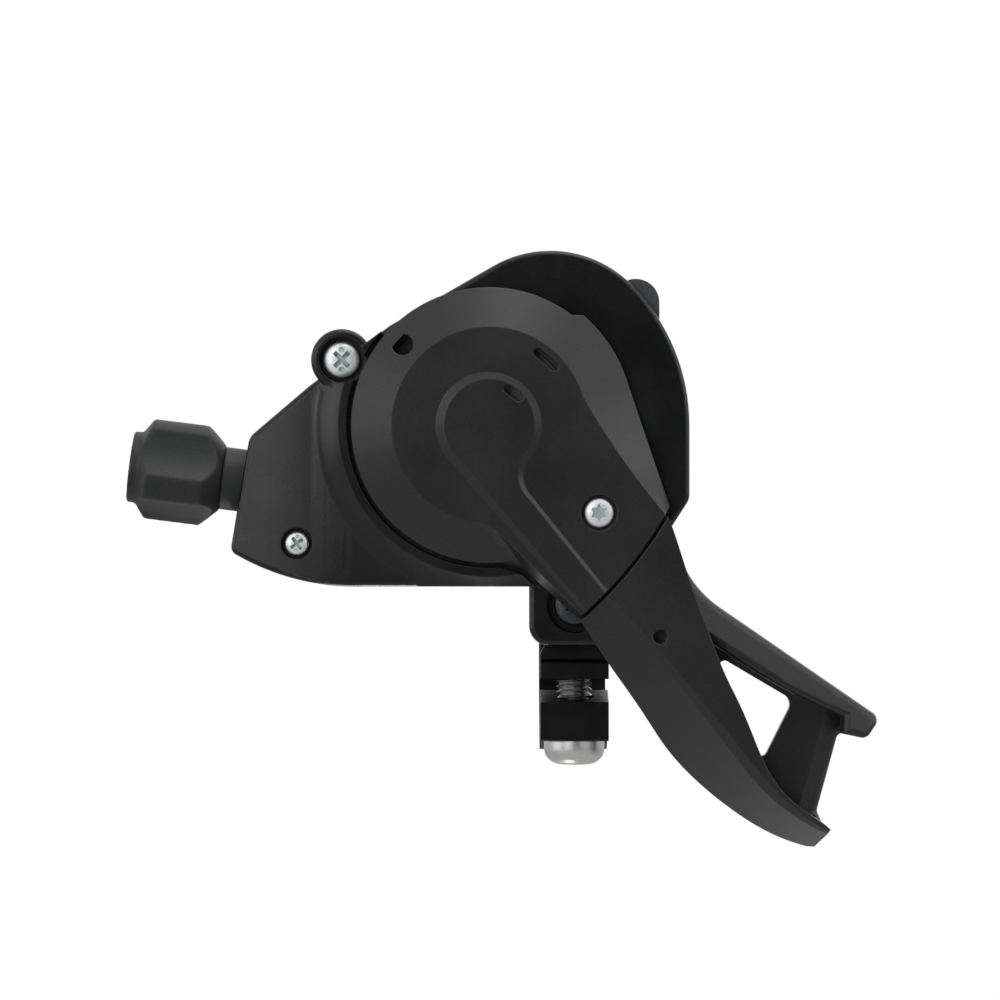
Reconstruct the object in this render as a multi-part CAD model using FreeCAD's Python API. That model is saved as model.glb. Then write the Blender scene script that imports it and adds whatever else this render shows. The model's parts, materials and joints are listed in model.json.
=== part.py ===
import FreeCAD, Part
import math
import os

# Trigger shifter for a 22.2 mm handlebar, in millimetres.
# The origin is the centre of the clamp bore. +X runs along the bar, +Z is up, and -Y faces the thumb.
# Places on the housing are given as (right, up) from the lever pivot, and depths as Y.

# Bar clamp
bar_radius = 11.1
clamp_play = 0.05
clamp_wall = 3.2
clamp_width = 9.6
ear_front = -19.3
ear_step = 0.8
slot_top = -3.75
slot_front_height = 3.4
slot_back_height = 1.2
upper_ear_top = 1.0
ear_step_height = -1.05
lower_ear_bottom = -12.5
foot_top = 11.0
shoulder_inset = 0.6
shoulder_drop = 1.2
bolt_radius = 2.5
bolt_depth = -14.5
bolt_top = 3.0
bolt_head_radius = 4.25
bolt_head_height = 3.4
bolt_crown_height = 2.2
bolt_crown_flat = 1.75
bolt_socket_width = 3.0
bolt_socket_depth = 2.0
hole_play = 0.2

# Bracket tab that the clamp is screwed to
tab_front = -22.5
tab_thickness = 5.0
tab_width = 12.8
tab_corner = 2.8
bracket_screw_height = 6.7
bracket_screw_radius = 2.0
bracket_head_radius = 2.9
bracket_head_height = 2.2
bracket_head_bevel = 0.4
bracket_counterbore = 3.9
bracket_seat = 2.5
bracket_screw_reach = 4.6

# Lever pivot, measured from the clamp bore
pivot_x = -12.0
pivot_z = 31.8

# Housing
face = -24.0
floor_thickness = 1.8
housing_wall = 1.8
parting = -11.0
cover_thickness = 2.8
wing_radius = 28.0
wing_side_drop = 10.3
wing_bevel_inset = 2.9
wing_bevel_drop = 4.5
brow_distance = 19.0
brow_angle = 30.0
brow_round = 16.0
bottom_drop = 22.5
edge_round = 0.7
corner_round = 2.4
foot_round = 1.3
left_slope_start = -25.0
left_slope_drop = 1.3
left_slope_length = 11.0
lip_gap = 0.7
lip_height = 2.2
lip_crest = 1.2
lip_spread = 4.6
lip_knee_spread = 2.4
lip_knee_height = 0.99
lip_start = 139.0
lip_sweep = 150.0
ear_place = (-20.55, 9.15)
ear_radius = 4.3
ear_rise = 0.8
large_head_radius = 2.5
large_counterbore = 3.2
large_shank = 1.5
small_screw_place = (-26.85, -16.5)
small_head_radius = 1.65
small_counterbore = 2.2
small_shank = 1.1
screw_head_height = 1.5
screw_head_bevel = 0.25
counterbore_depth = 1.8
screw_end_gap = 0.6
cover_boss_radius = 13.0
cover_boss_rise = 0.8
tab_overlap = 6.0
floor_hole_inset = 0.3
seam = 0.5

# Lever
running_gap = 0.4
skirt_radius = 19.2
skirt_edge = 1.4
stop_rise = 1.0
stop_start = -24.0
stop_end = 58.0
stop_top = 15.3
arm_tangent_angle = 16.0
arm_low_reach = 1.61
arm_high_reach = 1.68
arm_hollow_reach = 0.45
arm_shoulder_reach = 4.07
plateau_radius = 13.6
plateau_rise = 3.4
rib_rise = 0.4
rib_radius = 6.3
rib_bevel = 1.6
cap_wall = 1.6
split_left = (12.3, -26.9)
split_right = (24.6, -12.2)
split_gap = 0.5
split_radius = 58.0
lever_screw_place = (15.3, -12.2)
lever_head_radius = 2.05
lever_counterbore = 2.5
lever_shank = 1.25
lever_head_height = 1.2
lever_seat = 1.3
tongue_thickness = 1.0
tongue_width = 6.4
lever_plate_thickness = 1.5
lever_plate_radius = 12.6
paddle_back = -16.0
pad_thickness = 2.8
blade_thickness = 4.0
leg_front = -26.2
leg_round = 1.1
leg_corner = 1.3
web_round = 1.0
web_front = -22.6
web_thickness = 2.6
window_corner = 1.5
window_tight_corner = 0.75
paddle_hole_place = (23.75, -29.4)
paddle_hole_radius = 1.0
cap_slots = (((7.9, 9.1), 1.5, 0.62), ((3.4, 4.4), 1.0, 0.6))
spring_window_inset = 2.79
spring_window_angle = 137.0
spring_window_size = 1.5

# Axle and drum
axle_radius = 2.5
bearing_play = 0.05
bush_wall = 1.5
axle_end_gap = 0.4
clip_radius = 4.6
clip_thickness = 0.6
clip_groove = 0.4
clip_mouth = 2.8
bush_stand = 0.15
plate_thickness = 1.2
well_radius = 14.3
ledge = 1.3
drive_ratchet_radius = 8.2
drive_tooth = 1.1
hold_ratchet_radius = 12.0
hold_tooth = 1.4
ratchet_teeth = 24
tooth_rake = 0.12
flange_radius = 13.6
groove_radius = 11.4
groove_width = 1.8
groove_flank = 0.8
spool_thickness = 5.0
spring_well_radius = 8.8
spring_well_depth = 3.6
hub_wall = 1.5
drum_wire = 0.8
drum_coil_turns = 2.0
coil_pitch = 1.15
nipple_radius = 2.3
nipple_inset = 1.0
nipple_angle = 210.0
return_coil_radius = 7.2
return_wire = 0.7
return_leg = 1.19
pawl_gap = 0.5
pin_radius = 1.2
pin_skin = 0.6
pin_land_share = 2.0
drive_pin_distance = 10.8
hold_pin_inset = 8.5
hold_pin_drop = 6.0
trigger_pin_inset = 6.5
trigger_pin_rise = 6.0
trigger_tip_inset = 1.2
trigger_tip_angle = 40.0
trigger_tip_radius = 3.3
trigger_back = -6.0
pawl_thickness = 1.9
drive_tip_radius = 0.6
drive_eye_share = 1.4
drive_tip_angle = 211.0
hold_tip_radius = 0.7
hold_tip_angle = 6.0
hold_tail_radius = 0.8
finger_radius = 0.7
pawl_wire = 0.6
pawl_coil_turns = 2.0
pawl_coil_stand = 0.45
pawl_coil_leg = 1.5
drive_wire = 0.4
drive_coil_gap = 0.35
drive_coil_turns = 1.5
drive_coil_stand = 1.1
gate_spare = 4.0
gate_low = 17.0
gate_high = 15.0

# Barrel adjuster, on a line that meets the drum groove
barrel_depth = -17.0
barrel_tilt = 7.25
barrel_offset = 12.0
knob_radius = 7.15
knob_start = 38.9
knob_end = 46.65
knob_cone = 2.7
end_cone = 1.4
end_collar_radius = 5.0
end_collar_length = 1.25
flute_radius = 9.0
flute_depth = 1.7
flutes = 4
flute_turn = 23.0
neck_radius = 4.4
neck_reach = 7.2
stem_radius = 2.9
stem_end = 20.5
housing_bore = 2.6
housing_bore_depth = 9.0
cable_bore = 0.9
slide_play = 0.1
adjuster_spring_room = 4.0
adjuster_wire = 0.7
adjuster_turns = 2.0

# Sizes and places that follow from the ones above
lip_inner = skirt_radius + lip_gap
stop_radius = skirt_radius + stop_rise
mouth = knob_end + end_cone + end_collar_length
cone_start = knob_start - knob_cone
hold_pin_place = (wing_radius - hold_pin_inset, -hold_pin_drop)
trigger_pin_place = (wing_radius - trigger_pin_inset, trigger_pin_rise)

# Depths
floor_back = face + floor_thickness
skirt_back = face - running_gap
skirt_front = skirt_back - skirt_edge
plateau = skirt_front - plateau_rise
ceiling = plateau + cap_wall
plate_front = parting - plate_thickness
cover_back = parting + cover_thickness
lever_plate_back = skirt_back
lever_plate_front = lever_plate_back - lever_plate_thickness
tongue_back = lever_plate_front - bearing_play
tongue_front = tongue_back - tongue_thickness
spool_front = barrel_depth - spool_thickness / 2
spool_back = barrel_depth + spool_thickness / 2
hold_front = floor_back + running_gap
pin_front = face + pin_skin
pin_land_radius = pin_radius * pin_land_share
drive_front = face + bearing_play
bush_radius = axle_radius + bearing_play + bush_wall
hub_radius = bush_radius + hub_wall
ring_radius = bar_radius + clamp_play + clamp_wall
foot_width = clamp_width - shoulder_inset * 2 - running_gap
foot_front = tab_front + tab_thickness
neck_floor = cone_start - neck_reach - adjuster_spring_room
bush_front = lever_plate_front - bush_stand
clip_front = bush_front - clip_thickness - bearing_play
clip_groove_radius = axle_radius - clip_groove


def polar(radius, degrees):
    angle = math.radians(degrees)
    return (radius * math.cos(angle), radius * math.sin(angle))


trigger_tip_place = polar(wing_radius - trigger_tip_inset, trigger_tip_angle)


def point(place, depth):
    return FreeCAD.Vector(pivot_x + place[0], depth, pivot_z + place[1])


def between(first, second, share):
    return (first[0] + (second[0] - first[0]) * share, first[1] + (second[1] - first[1]) * share)


def closed(corners):
    return Part.makePolygon(corners + corners[:1])


def outline(depth, start, *steps):
    # Each step is one point for a straight line, or a point passed and an end for an arc.
    edges = []
    here = point(start, depth)
    for step in steps:
        end = point(step[-1], depth)
        if len(step) == 1:
            edges.append(Part.makeLine(here, end))
        else:
            edges.append(Part.Arc(here, point(step[0], depth), end).toShape())
        here = end
    return Part.Wire(edges)


def plate(front, back, start, *steps):
    return Part.Face(outline(front, start, *steps)).extrude(FreeCAD.Vector(0, back - front, 0))


def rod(place, radius, front, back):
    return Part.makeCylinder(radius, back - front, point(place, front), FreeCAD.Vector(0, 1, 0))


def tube(place, outer, inner, front, back):
    return rod(place, outer, front, back).cut(rod(place, inner, front, back))


def link(first, first_radius, second, second_radius, front, back):
    # A flat link: two round ends joined by their common tangents.
    across = (second[0] - first[0], second[1] - first[1])
    length = math.hypot(*across)
    heading = math.degrees(math.atan2(across[1], across[0]))
    lean = math.degrees(math.acos((first_radius - second_radius) / length))

    def rim(centre, radius, degrees):
        offset = polar(radius, degrees)
        return (centre[0] + offset[0], centre[1] + offset[1])

    return plate(
        front,
        back,
        rim(first, first_radius, heading + lean),
        (rim(first, first_radius, heading + 180), rim(first, first_radius, heading - lean)),
        (rim(second, second_radius, heading - lean),),
        (rim(second, second_radius, heading), rim(second, second_radius, heading + lean)),
        (rim(first, first_radius, heading + lean),),
    )


def turned(profile, start_angle=0.0, sweep=360.0):
    # A profile of (radius, depth) pairs turned round the lever pivot.
    corners = [point((radius, 0), depth) for radius, depth in profile]
    face_shape = Part.Face(closed(corners))
    centre = point((0, 0), 0)
    axis = FreeCAD.Vector(0, -1, 0)
    face_shape.rotate(centre, axis, start_angle)
    return face_shape.revolve(centre, axis, sweep)


def upright_edges(solid, *places):
    found = []
    for edge in solid.Edges:
        first = edge.Vertexes[0].Point
        last = edge.Vertexes[-1].Point
        if abs(first.x - last.x) + abs(first.z - last.z) > 0.01:
            continue
        for place in places:
            spot = point(place, first.y)
            if abs(first.x - spot.x) + abs(first.z - spot.z) < 0.1:
                found.append(edge)
    return found


def edges_at(solid, depth):
    found = []
    for edge in solid.Edges:
        box = edge.BoundBox
        if abs(box.YMin - depth) < 0.01 and abs(box.YMax - depth) < 0.01:
            found.append(edge)
    return found


def coil(place, radius, wire, turns, front, leg):
    # Square spring wire wound round an axis along Y, with a straight leg at each end.
    pitch = wire * coil_pitch
    path = Part.makeHelix(pitch, pitch * turns, radius)
    half = wire / 2
    corners = [
        FreeCAD.Vector(radius - half, 0, -half),
        FreeCAD.Vector(radius + half, 0, -half),
        FreeCAD.Vector(radius + half, 0, half),
        FreeCAD.Vector(radius - half, 0, half),
    ]
    spring = Part.Wire(path.Edges).makePipeShell([closed(corners)], True, True)
    if leg:
        first = Part.makeBox(leg + wire, wire, wire, FreeCAD.Vector(radius - half, -half, -half))
        last = first.translated(FreeCAD.Vector(0, 0, pitch * turns))
        spring = spring.fuse([first, last])
    spring.rotate(FreeCAD.Vector(), FreeCAD.Vector(1, 0, 0), -90)
    spring.translate(point(place, front + half))
    return spring


def toothed(tip_radius, depth, front, back):
    corners = []
    pitch = 360.0 / ratchet_teeth
    for tooth in range(ratchet_teeth):
        corners.append((polar(tip_radius, tooth * pitch),))
        corners.append((polar(tip_radius - depth, tooth * pitch + pitch * tooth_rake),))
    return plate(front, back, corners[-1][0], *corners)


def pan_screw(place, head_radius, head_height, shank, seat, end):
    head = rod(place, head_radius, seat - head_height, seat)
    head = head.makeChamfer(head_height * screw_head_bevel, edges_at(head, seat - head_height))
    return head.fuse(rod(place, shank, seat, end)).removeSplitter()


# Barrel axis: distances grow from the drum towards the knob's mouth.
tilt = math.radians(barrel_tilt)
barrel_heading = FreeCAD.Vector(-math.cos(tilt), 0, math.sin(tilt))
barrel_foot = polar(-barrel_offset, 90 - barrel_tilt)


def barrel_point(distance):
    return point(barrel_foot, barrel_depth) + barrel_heading * distance


def barrel_rod(radius, near, far):
    return Part.makeCylinder(radius, far - near, barrel_point(near), barrel_heading)


def barrel_cone(near_radius, far_radius, near, far):
    return Part.makeCone(near_radius, far_radius, far - near, barrel_point(near), barrel_heading)


# Housing outline, clockwise from the top of the cable boss
boss_top = (-33.5, -1.6)
brow_low = (-25.0, 5.6)
brow_normal = polar(brow_distance, 90 + brow_angle)
brow_run = math.sqrt(wing_radius ** 2 - brow_distance ** 2)
brow_along = polar(1.0, brow_angle)
brow_corner = (brow_normal[0] + brow_along[0] * brow_run, brow_normal[1] + brow_along[1] * brow_run)
brow_start = (brow_normal[0] - brow_along[0] * 5.0, brow_normal[1] - brow_along[1] * 5.0)
brow_corner_angle = math.degrees(math.atan2(brow_corner[1], brow_corner[0]))
wing_foot = (wing_radius, -wing_side_drop)
wing_bevel = (wing_radius - wing_bevel_inset, -wing_side_drop - wing_bevel_drop)
bottom_right = (19.4, -bottom_drop)
bottom_left = (-17.2, -bottom_drop)
left_foot = (-36.2, -17.6)


def housing_prism(front, back):
    prism = plate(
        front,
        back,
        boss_top,
        (brow_low,),
        (brow_start,),
        (brow_corner,),
        (polar(wing_radius, brow_corner_angle / 2), (wing_radius, 0)),
        (wing_foot,),
        (wing_bevel,),
        (bottom_right,),
        (bottom_left,),
        ((-28.0, -21.2), left_foot),
        (boss_top,),
    )
    prism = prism.makeFillet(brow_round, upright_edges(prism, brow_corner))
    prism = prism.makeFillet(foot_round, upright_edges(prism, left_foot))
    return prism.makeFillet(corner_round, upright_edges(prism, boss_top, wing_foot, wing_bevel))


def trigger_gate(front, back):
    # The way through the wall that the release trigger swings in.
    centre = math.degrees(math.atan2(trigger_tip_place[1], trigger_tip_place[0]))
    outer = wing_radius + gate_spare
    inner = well_radius + gate_spare
    low = centre - gate_low
    high = centre + gate_high
    return plate(
        front,
        back,
        polar(inner, low),
        (polar(outer, low),),
        (polar(outer, centre), polar(outer, high)),
        (polar(inner, high),),
        (polar(inner, low),),
    )


def wing_well(front, back):
    inner = wing_radius - housing_wall
    wing_well_foot = (inner - 5.5, -wing_side_drop - 5.6)
    return plate(
        front,
        back,
        (0, 0),
        (polar(inner, 64),),
        (polar(inner, 32), (inner, 0)),
        ((inner, -wing_side_drop + 1.0),),
        (wing_well_foot,),
        ((0, 0),),
    )


def make_base_housing():
    body = housing_prism(face, parting)
    far_left = left_slope_start - left_slope_length * 2
    slope_corners = [
        point((left_slope_start, -wing_radius), face),
        point((far_left, -wing_radius), face),
        point((far_left, -wing_radius), sloped_face(far_left)),
    ]
    wedge = Part.Face(closed(slope_corners)).extrude(FreeCAD.Vector(0, 0, wing_radius * 2))
    body = body.cut(wedge)
    crease = pivot_x + left_slope_start
    front_edges = []
    for edge in body.Edges:
        box = edge.BoundBox
        on_crease = box.XMin > crease - 0.5 and box.XMax < crease + 0.5
        if box.YMax < face + left_slope_drop * 2 and not on_crease:
            front_edges.append(edge)
    body = body.makeFillet(edge_round, front_edges)
    lip = turned(
        [
            (lip_inner, face + seam),
            (lip_inner, face - lip_height),
            (lip_inner + lip_crest, face - lip_height),
            (lip_inner + lip_knee_spread, face - lip_knee_height),
            (lip_inner + lip_spread, face),
            (lip_inner + lip_spread, face + seam),
        ],
        lip_start,
        lip_sweep,
    ).common(housing_prism(face - lip_height, parting))
    lever_room = Part.Face(arm_foot(face - lip_height).makeOffset2D(lip_gap))
    lip = lip.cut(lever_room.extrude(FreeCAD.Vector(0, lip_height, 0)))
    ear = rod(ear_place, ear_radius, face - ear_rise, parting)
    ear = ear.makeFillet(edge_round, edges_at(ear, face - ear_rise))
    ear = ear.cut(rod((0, 0), lip_inner, face - lip_height, face))
    tab = Part.makeBox(
        tab_width,
        tab_thickness,
        pivot_z - bottom_drop - upper_ear_top + tab_overlap,
        FreeCAD.Vector(-tab_width / 2, tab_front, upper_ear_top),
    )
    low_edges = [e for e in tab.Edges if e.BoundBox.ZMax < upper_ear_top + 1]
    tab = tab.makeFillet(tab_corner, [e for e in low_edges if e.BoundBox.YLength > 1])
    housing_bottom = pivot_z - bottom_drop
    rims = [e for e in edges_at(tab, tab_front) if e.BoundBox.ZMin < housing_bottom]
    tab = tab.makeFillet(edge_round, rims)
    body = body.fuse([lip, ear, tab]).removeSplitter()

    wells = rod((0, 0), well_radius, floor_back, parting)
    wells = wells.fuse(wing_well(floor_back, parting))
    pins = rod(hold_pin_place, pin_land_radius, floor_back, hold_front)
    pins = pins.fuse(rod(trigger_pin_place, pin_land_radius, floor_back, hold_front))
    body = body.cut(wells.cut(pins))
    body = body.cut(trigger_gate(floor_back, parting))
    body = body.cut(mechanism_plan(plate_front, parting, slide_play))
    body = body.cut(rod((0, 0), flange_radius - floor_hole_inset, face - 1, floor_back))
    for place in (hold_pin_place, trigger_pin_place):
        body = body.cut(rod(place, pin_radius, pin_front, parting))

    ear_seat = face - ear_rise + counterbore_depth
    body = body.cut(rod(ear_place, large_counterbore, face - lip_height - 1, ear_seat))
    body = body.cut(rod(ear_place, large_shank + hole_play, face, parting))
    small_seat = small_screw_seat()
    body = body.cut(rod(small_screw_place, small_counterbore, face - 1, small_seat))
    body = body.cut(rod(small_screw_place, small_shank + hole_play, face, parting))

    screw_at = (-pivot_x, bracket_screw_height - pivot_z)
    body = body.cut(rod(screw_at, bracket_counterbore, face - 2, tab_front + bracket_seat))
    body = body.cut(rod(screw_at, bracket_screw_radius + hole_play, tab_front, foot_front))

    body = body.cut(clamp_recess())
    body = body.cut(barrel_rod(neck_radius + slide_play, neck_floor, mouth))
    body = body.cut(barrel_rod(stem_radius + slide_play, stem_end - 1.0, mouth))
    body = body.cut(barrel_rod(cable_bore, 0, mouth))
    return body


def sloped_face(right):
    # Depth of the face left of the crease, where it falls away.
    return face + (left_slope_start - right) * left_slope_drop / left_slope_length


def small_screw_seat():
    return sloped_face(small_screw_place[0]) + counterbore_depth


def mechanism_plan(front, back, play):
    # Outline of the stamped plate that carries the axle and the pins.
    disc = rod((0, 0), well_radius + ledge + play, front, back)
    pin_land = pin_radius * 2.6 + play
    lobe = link(hold_pin_place, pin_land, trigger_pin_place, pin_land, front, back)
    arm = link((0, 0), well_radius, hold_pin_place, pin_land, front, back)
    brace = link((0, 0), well_radius, trigger_pin_place, pin_land, front, back)
    return disc.fuse([lobe, arm, brace]).removeSplitter()


def make_mechanism_plate():
    shape = mechanism_plan(plate_front, parting, 0)
    shape = shape.cut(rod((0, 0), axle_radius, plate_front, parting))
    for place in (hold_pin_place, trigger_pin_place):
        shape = shape.cut(rod(place, pin_radius, plate_front, parting))
    return shape


def make_top_cover():
    lid = housing_prism(parting, cover_back)
    lid = lid.fuse(rod(ear_place, ear_radius, parting, cover_back)).removeSplitter()
    lid = lid.makeFillet(edge_round * 1.6, edges_at(lid, cover_back))
    boss = rod((0, 0), cover_boss_radius, cover_back - seam, cover_back + cover_boss_rise)
    boss = boss.makeFillet(cover_boss_rise * 0.8, edges_at(boss, cover_back + cover_boss_rise))
    lid = lid.fuse(boss).removeSplitter()
    lid = lid.cut(trigger_gate(parting, cover_back + 1))
    lid = lid.cut(rod(ear_place, large_shank, parting, cover_back - screw_end_gap))
    lid = lid.cut(rod(small_screw_place, small_shank, parting, cover_back - screw_end_gap))
    return lid.cut(clamp_recess())


def clamp_recess():
    # Room for the clamp's foot and ring, kept clear of the housing on all sides but the tab's.
    gap = running_gap * 2
    foot = clamp_block(foot_width + gap, foot_front, 0, upper_ear_top - 1, foot_top + running_gap)
    return foot.fuse(along_bar(ring_radius + running_gap, clamp_width + gap))


def make_large_screw():
    seat = face - ear_rise + counterbore_depth
    return pan_screw(
        ear_place, large_head_radius, screw_head_height, large_shank, seat, cover_back - screw_end_gap
    )


def make_small_screw():
    end = cover_back - screw_end_gap
    return pan_screw(
        small_screw_place, small_head_radius, screw_head_height, small_shank, small_screw_seat(), end
    )


# Clamp
def clamp_block(width, front, back, bottom, top):
    return Part.makeBox(width, back - front, top - bottom, FreeCAD.Vector(-width / 2, front, bottom))


def along_bar(radius, width):
    return Part.makeCylinder(radius, width, FreeCAD.Vector(-width / 2, 0, 0), FreeCAD.Vector(1, 0, 0))


def upright_rod(radius, bottom, top):
    base = FreeCAD.Vector(0, bolt_depth, bottom)
    return Part.makeCylinder(radius, top - bottom, base, FreeCAD.Vector(0, 0, 1))


def across_clamp(corners):
    # A shape of (depth, height) corners that runs the clamp's width.
    face_shape = Part.Face(closed([FreeCAD.Vector(-clamp_width / 2, y, z) for y, z in corners]))
    return face_shape.extrude(FreeCAD.Vector(clamp_width, 0, 0))


def make_clamp_band():
    ears = clamp_block(clamp_width, ear_front, 0, lower_ear_bottom, ear_step_height)
    ear_edges = [e for e in ears.Edges if e.BoundBox.XLength > 1 and e.BoundBox.YMax < ear_front + 0.1]
    ears = ears.makeFillet(edge_round, ear_edges)
    half = clamp_width / 2
    shoulder = upper_ear_top - shoulder_drop
    upper_front = ear_front + ear_step
    upper_plan = [
        FreeCAD.Vector(-half, upper_front, ear_step_height),
        FreeCAD.Vector(half, upper_front, ear_step_height),
        FreeCAD.Vector(half, upper_front, shoulder),
        FreeCAD.Vector(half - shoulder_inset, upper_front, upper_ear_top),
        FreeCAD.Vector(shoulder_inset - half, upper_front, upper_ear_top),
        FreeCAD.Vector(-half, upper_front, shoulder),
    ]
    upper = Part.Face(closed(upper_plan)).extrude(FreeCAD.Vector(0, -upper_front, 0))
    foot = clamp_block(foot_width, foot_front, -ring_radius / 2, ear_step_height, foot_top)
    band = along_bar(ring_radius, clamp_width).fuse([ears, upper, foot]).removeSplitter()
    band = band.cut(along_bar(bar_radius + clamp_play, clamp_width))
    # The ears stand open: the slot is tallest at the front.
    slot_end = -bar_radius / 2
    slot = across_clamp(
        [
            (ear_front - 1, slot_top),
            (slot_end, slot_top),
            (slot_end, slot_top - slot_back_height),
            (ear_front - 1, slot_top - slot_front_height),
        ]
    )
    band = band.cut(slot)
    band = band.cut(upright_rod(bolt_radius + hole_play, lower_ear_bottom - 1, slot_top))
    band = band.cut(upright_rod(bolt_radius, slot_top, bolt_top))
    screw_at = (-pivot_x, bracket_screw_height - pivot_z)
    return band.cut(rod(screw_at, bracket_screw_radius, foot_front - 1, foot_front + bracket_screw_reach))


def make_clamp_bolt():
    shank = upright_rod(bolt_radius, lower_ear_bottom, bolt_top)
    base = lower_ear_bottom - bolt_head_height
    crown_top = base + bolt_crown_height
    crown_spread = bolt_head_radius - bolt_crown_flat
    share = math.sqrt(0.5)

    def spot(radius, height):
        return FreeCAD.Vector(radius, bolt_depth, height)

    crown = Part.Arc(
        spot(bolt_head_radius, crown_top),
        spot(bolt_crown_flat + crown_spread * share, crown_top - bolt_crown_height * share),
        spot(bolt_crown_flat, base),
    )
    corners = [
        spot(bolt_crown_flat, base),
        spot(0, base),
        spot(0, lower_ear_bottom),
        spot(bolt_head_radius, lower_ear_bottom),
        spot(bolt_head_radius, crown_top),
    ]
    profile = Part.Wire([crown.toShape()] + Part.makePolygon(corners).Edges)
    head = Part.Face(profile).revolve(spot(0, 0), FreeCAD.Vector(0, 0, 1), 360)
    sides = [polar(bolt_socket_width / math.sqrt(3), 60 * side) for side in range(6)]
    rim = [FreeCAD.Vector(x, bolt_depth + y, base) for x, y in sides]
    socket = Part.Face(closed(rim)).extrude(FreeCAD.Vector(0, 0, bolt_socket_depth))
    return shank.fuse(head).removeSplitter().cut(socket)


def make_bracket_screw():
    place = (-pivot_x, bracket_screw_height - pivot_z)
    seat = tab_front + bracket_seat
    head = rod(place, bracket_head_radius, seat - bracket_head_height, seat)
    head = head.makeChamfer(bracket_head_bevel, edges_at(head, seat - bracket_head_height))
    shank = rod(place, bracket_screw_radius, seat, foot_front + bracket_screw_reach)
    return head.fuse(shank).removeSplitter()


# Line that parts the lever cap from the paddle, an arc bowed towards the paddle
split_along = (split_right[0] - split_left[0], split_right[1] - split_left[1])
split_length = math.hypot(*split_along)
split_out = (split_along[1] / split_length, -split_along[0] / split_length)
split_middle = between(split_left, split_right, 0.5)
split_bow = math.sqrt(split_radius ** 2 - split_length ** 2 / 4)
split_centre = (split_middle[0] - split_out[0] * split_bow, split_middle[1] - split_out[1] * split_bow)
split_spare = 1.6


def past_split(share, distance):
    spot = between(split_left, split_right, share)
    return (spot[0] + split_out[0] * distance, spot[1] + split_out[1] * distance)


def split_side(reach):
    # All that lies on the cap's side of the split, out to this far past it.
    return rod(split_centre, split_radius + reach, plateau - rib_rise - 1, paddle_back + 1)


# Lever cap
rim_turn = 262.0
arm_low = polar(skirt_radius + arm_low_reach, 283.9)
arm_high = polar(plateau_radius + arm_high_reach, 276.0)
arm_side = polar(stop_radius, arm_tangent_angle)


def arm_foot(depth):
    # Foot of the arm's sloped sides, with the part that runs in to the pivot.
    return outline(
        depth,
        arm_side,
        ((0, 0),),
        (polar(skirt_radius, rim_turn),),
        (polar(skirt_radius, 273.9), arm_low),
        (past_split(0, split_spare),),
        (past_split(1, split_spare),),
        (arm_side,),
    )


def arm_top(depth):
    shoulder = polar(plateau_radius, arm_tangent_angle)
    return outline(
        depth,
        shoulder,
        ((0, 0),),
        (polar(plateau_radius, rim_turn),),
        (polar(plateau_radius + arm_hollow_reach, 270.0), arm_high),
        (past_split(0.035, split_spare),),
        (past_split(0.975, split_spare),),
        (polar(plateau_radius + arm_shoulder_reach, -10.1), shoulder),
    )


def cap_disc():
    # The disc with its sloped skirt. To the right the skirt runs on to the stop, which ends in a level step.
    slope = plateau_rise / (stop_radius - plateau_radius)
    rim_depth = plateau + slope * (skirt_radius - plateau_radius)
    disc = turned(
        [
            (0, skirt_back),
            (skirt_radius, skirt_back),
            (skirt_radius, rim_depth),
            (plateau_radius, plateau),
            (0, plateau),
        ]
    )
    stop = turned(
        [
            (plateau_radius, skirt_back),
            (stop_radius, skirt_back),
            (stop_radius, skirt_front),
            (plateau_radius, plateau),
        ],
        stop_start,
        stop_end - stop_start,
    )
    above = Part.makeBox(stop_radius, 20, stop_radius, point((0, stop_top), plateau - 1))
    return disc.fuse(stop.cut(above)).removeSplitter()


def keyhole(depth, radius, inset):
    # The raised disc and the band that runs from it down the arm, with a hollow curve between them.
    neck = (5.2 - inset * 1.2, -7.3)
    band_top = (6.2 - inset * 0.7, -9.75 - inset * 0.5)
    return outline(
        depth,
        polar(radius, -40),
        (polar(radius, 90), polar(radius, 220)),
        (past_split(0.04 + inset * 0.04, split_spare),),
        (past_split(0.3 - inset * 0.04, split_spare),),
        (band_top,),
        (neck, polar(radius, -40)),
    )


def make_lever_cap():
    arm_edge = Part.Face(arm_foot(skirt_front)).extrude(FreeCAD.Vector(0, skirt_edge, 0))
    arm = Part.makeLoft([arm_foot(skirt_front), arm_top(plateau)], True, True)
    rib_foot = keyhole(plateau + 0.2, rib_radius + rib_bevel, 0)
    rib = Part.makeLoft([rib_foot, keyhole(plateau - rib_rise, rib_radius, 1.0)], True, True)
    body = cap_disc().fuse([arm_edge, arm, rib]).removeSplitter().common(split_side(0))
    inner_slope = (skirt_radius - plateau_radius) / plateau_rise
    inner_base = skirt_radius - cap_wall * 1.9
    inner_top = inner_base - inner_slope * (skirt_back - ceiling) * 0.8
    body = body.cut(turned([(0, skirt_back), (inner_base, skirt_back), (inner_top, ceiling), (0, ceiling)]))
    body = body.cut(lever_plate_plan(tongue_front - bearing_play, skirt_back, slide_play))
    body = body.cut(tongue_plan(tongue_front - bearing_play, skirt_back, slide_play))
    body = body.cut(rod(lever_screw_place, lever_counterbore, plateau - 2, plateau + lever_seat))
    body = body.cut(rod(lever_screw_place, lever_shank + hole_play, plateau, skirt_back))
    for centre, half_length, half_width in cap_slots:
        body = body.cut(tangent_slot(centre, half_length, half_width))
    return body.cut(spring_window())


def tangent_slot(centre, half_length, half_width):
    heading = math.degrees(math.atan2(centre[1], centre[0])) + 90
    reach = polar(half_length, heading)
    first = (centre[0] - reach[0], centre[1] - reach[1])
    second = (centre[0] + reach[0], centre[1] + reach[1])
    return link(first, half_width, second, half_width, plateau - 2, ceiling + 0.1)


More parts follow.
